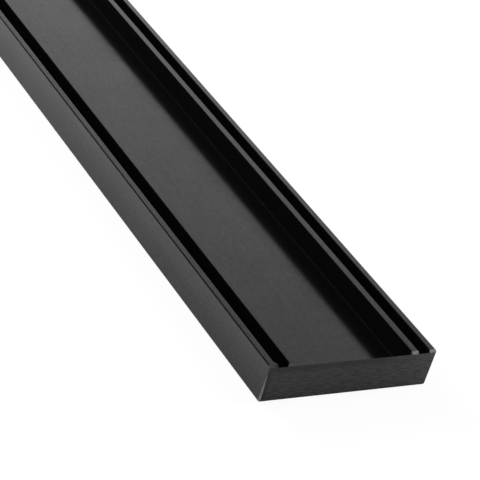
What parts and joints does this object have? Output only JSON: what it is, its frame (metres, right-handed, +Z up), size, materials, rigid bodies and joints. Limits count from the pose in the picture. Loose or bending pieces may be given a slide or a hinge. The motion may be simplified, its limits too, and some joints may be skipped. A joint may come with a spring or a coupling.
{
  "type": "channel drain",
  "caption": "Slim linear channel drain for a tiled floor: a closed-ended channel of U section, a tray for a strip of tile, open gaps along both sides and an outlet in the floor.",
  "frame": {"origin": "on the underside of the channel, below the middle of its length and width", "axes": "+X across the drain to its right side, +Y along its length away from the near end plate, +Z up"},
  "size_m": [0.1, 0.6, 0.0215],
  "materials": {
    "black_anodised": "satin black anodised extrusion",
    "brushed_black": "black, ground and brushed crosswise",
    "support_plastic": "moulded, matt black",
    "strainer_steel": "stamped and perforated, satin"
  },
  "bodies": {
    "root": {"channel_body": "black_anodised", "end_plate_near": "brushed_black", "end_plate_far": "brushed_black", "tile_tray": "black_anodised", "tray_support_1": "support_plastic", "tray_support_2": "support_plastic", "tray_support_3": "support_plastic", "tray_support_4": "support_plastic", "tray_support_5": "support_plastic", "tray_support_6": "support_plastic", "outlet_strainer": "strainer_steel"}
  },
  "joints": []
}
